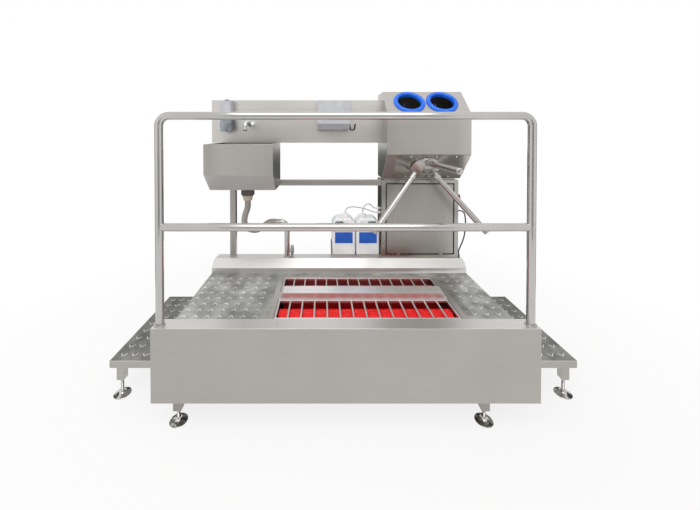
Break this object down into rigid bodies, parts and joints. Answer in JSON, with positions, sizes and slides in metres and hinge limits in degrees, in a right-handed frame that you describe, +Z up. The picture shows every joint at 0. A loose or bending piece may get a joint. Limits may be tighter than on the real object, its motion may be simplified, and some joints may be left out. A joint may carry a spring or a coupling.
{
  "type": "boot washer",
  "caption": "Walk-through hygiene station: boot brushes under grilles, two hand holes, an arm turnstile, a hand sink with tap, soap and towels, side steps and a handrail.",
  "frame": {"origin": "on the floor, midway between the steps' outer edges and midway between the skirt's front face and the steps' back edges", "axes": "+Z up; +X to the right as a person faces the skirt; +Y towards the back"},
  "size_m": [2.55, 0.89, 1.741],
  "materials": {
    "stainless_steel": "brushed stainless sheet and tube",
    "polished_steel": "polished",
    "bearing_plastic": "satin",
    "motor_paint": "satin paint",
    "belt_rubber": "matt",
    "red_bristle": "bristles",
    "pulley_metal": "turned",
    "black_plastic": "satin",
    "hose_plastic": "satin",
    "valve_brass": "nickel washed",
    "soap_plastic": "translucent",
    "case_plastic": "satin gloss",
    "jug_plastic": "milky",
    "cap_plastic": "gloss",
    "tube_plastic": "translucent",
    "fitting_plastic": "satin",
    "equipment_plastic": "fine grain",
    "stop_red": "gloss",
    "cable_black": "matt",
    "blue_plastic": "satin gloss"
  },
  "bodies": {
    "machine": {"base_frame": "stainless_steel", "front_skirt": "stainless_steel", "lower_panels": "stainless_steel", "rear_ledge": "stainless_steel", "tread_plates": "stainless_steel", "well_frame": "stainless_steel", "brush_tank": "stainless_steel", "tank_drain": "stainless_steel", "centre_channel": "stainless_steel", "spray_pipe": "stainless_steel", "step_frames": "stainless_steel", "step_treads": "stainless_steel", "handrail": "stainless_steel", "rear_frame": "stainless_steel", "back_panel": "stainless_steel", "sink_bowl": "stainless_steel", "drain_pipe": "stainless_steel", "jug_tray": "stainless_steel", "cabinet_shell": "stainless_steel", "housing_shell": "stainless_steel", "hand_trough": "stainless_steel", "turnstile_plate": "stainless_steel", "turnstile_bearing": "stainless_steel", "fasteners": "stainless_steel", "levelling_feet": "polished_steel", "tap": "polished_steel", "soap_valve": "polished_steel", "bearing_blocks": "bearing_plastic", "gearmotor": "motor_paint", "drive_belt": "belt_rubber", "sink_waste": "black_plastic", "coat_hook": "black_plastic", "drain_hose": "hose_plastic", "water_valve": "valve_brass", "soap_reservoir": "soap_plastic", "towel_case": "case_plastic", "jugs": "jug_plastic", "jug_caps": "cap_plastic", "suction_tube_left": "tube_plastic", "suction_tube_right": "tube_plastic", "cabinet_fittings": "fitting_plastic", "cabinet_equipment": "equipment_plastic", "motor_cable": "cable_black", "hand_rings": "blue_plastic"},
    "front_roller_body": {"front_roller": "stainless_steel", "front_bristles": "red_bristle"},
    "rear_roller_body": {"rear_roller": "stainless_steel", "rear_bristles": "red_bristle"},
    "motor_pulley_body": {"motor_pulley": "pulley_metal"},
    "turnstile_body": {"turnstile_hub": "stainless_steel", "turnstile_arms": "stainless_steel"},
    "front_grille_body": {"front_grille": "stainless_steel"},
    "rear_grille_body": {"rear_grille": "stainless_steel"},
    "cabinet_door_body": {"cabinet_door": "stainless_steel"},
    "lock_left_body": {"lock_left": "polished_steel"},
    "lock_right_body": {"lock_right": "polished_steel"},
    "stop_button_body": {"stop_button": "stop_red"},
    "soap_lever_body": {"soap_lever": "stainless_steel"},
    "towel_cover_body": {"towel_cover": "case_plastic"},
    "valve_lever_body": {"valve_lever": "stainless_steel"}
  },
  "joints": [
    {"name": "front_roller_spin", "type": "hinge", "parent": "machine", "child": "front_roller_body", "pos_m": [0.12, -0.2505, 0.396], "axis": [1, 0, 0], "continuous": true},
    {"name": "rear_roller_spin", "type": "hinge", "parent": "machine", "child": "rear_roller_body", "pos_m": [0.12, 0.0315, 0.396], "axis": [1, 0, 0], "continuous": true},
    {"name": "motor_spin", "type": "hinge", "parent": "machine", "child": "motor_pulley_body", "pos_m": [-0.462, -0.1095, 0.25], "axis": [1, 0, 0], "continuous": true},
    {"name": "turnstile_spin", "type": "hinge", "parent": "machine", "child": "turnstile_body", "pos_m": [0.57, 0.156, 1.232], "axis": [0, -0.7071, -0.7071], "continuous": true},
    {"name": "front_grille_lift", "type": "slide", "parent": "machine", "child": "front_grille_body", "axis": [0, 0, 1], "range_m": [0, 0.12]},
    {"name": "rear_grille_lift", "type": "slide", "parent": "machine", "child": "rear_grille_body", "axis": [0, 0, 1], "range_m": [0, 0.12]},
    {"name": "cabinet_door_pull", "type": "slide", "parent": "machine", "child": "cabinet_door_body", "axis": [0, -1, 0], "range_m": [0, 0.04]},
    {"name": "lock_left_turn", "type": "hinge", "parent": "cabinet_door_body", "child": "lock_left_body", "pos_m": [0.39, 0.263, 0.862], "axis": [0, 1, 0], "range_deg": [0, 90]},
    {"name": "lock_right_turn", "type": "hinge", "parent": "cabinet_door_body", "child": "lock_right_body", "pos_m": [0.752, 0.263, 0.862], "axis": [0, -1, 0], "range_deg": [0, 90]},
    {"name": "stop_button_push", "type": "slide", "parent": "machine", "child": "stop_button_body", "axis": [-1, 0, 0], "range_m": [0, 0.005], "stiffness_N_per_m": 600, "springref_m": -0.003},
    {"name": "soap_lever_push", "type": "hinge", "parent": "machine", "child": "soap_lever_body", "pos_m": [-0.767, 0.195, 1.534], "axis": [1, 0, 0], "range_deg": [0, 12], "stiffness_Nm_per_rad": 2, "springref_deg": -5.73},
    {"name": "towel_cover_open", "type": "hinge", "parent": "machine", "child": "towel_cover_body", "pos_m": [-0.0395, 0.241, 1.4865], "axis": [1, 0, 0], "range_deg": [0, 60]},
    {"name": "valve_lever_turn", "type": "hinge", "parent": "machine", "child": "valve_lever_body", "pos_m": [-0.328, 0.263, 0.625], "axis": [0, 1, 0], "range_deg": [0, 90]}
  ],
  "couplings": [
    {"joint": "rear_roller_spin", "follows": "front_roller_spin", "ratio": 1},
    {"joint": "motor_spin", "follows": "front_roller_spin", "ratio": 1.5}
  ]
}
